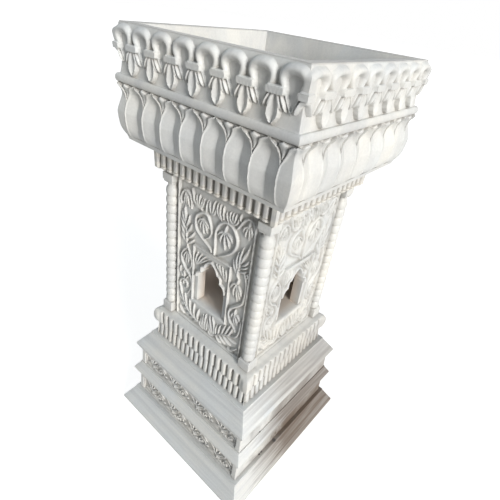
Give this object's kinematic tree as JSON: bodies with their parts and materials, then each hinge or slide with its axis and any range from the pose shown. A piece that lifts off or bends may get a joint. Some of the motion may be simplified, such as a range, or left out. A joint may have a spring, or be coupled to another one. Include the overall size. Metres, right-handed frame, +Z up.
{
  "type": "tulsi planter",
  "caption": "Carved marble tulsi planter: a stepped square plinth, a hollow niche shaft with arched windows and ringed corner columns, and an open square planting box on top.",
  "frame": {"origin": "centre of the plinth's underside, on the ground", "axes": "+Z up along the centre line; -Y is the front, the face with the carved plinth blocks; +X is the right side"},
  "size_m": [0.564, 0.564, 1.22],
  "materials": {
    "marble": "honed, weathered",
    "steel": "mill"
  },
  "bodies": {
    "root": {"base_slab": "marble", "lower_frieze_block": "marble", "middle_slab": "marble", "upper_frieze_block": "marble", "top_plinth_slab": "marble", "reeded_course": "marble", "niche_floor_block": "marble", "front_panel": "marble", "right_panel": "marble", "back_panel": "marble", "left_panel": "marble", "front_right_column": "marble", "back_right_column": "marble", "back_left_column": "marble", "front_left_column": "marble", "dentil_band": "marble", "planter_floor": "marble", "plain_band": "marble", "front_lotus_wall": "marble", "right_lotus_wall": "marble", "back_lotus_wall": "marble", "left_lotus_wall": "marble", "front_frieze_wall": "marble", "right_frieze_wall": "marble", "back_frieze_wall": "marble", "left_frieze_wall": "marble", "joint_dowels": "steel"}
  },
  "joints": []
}
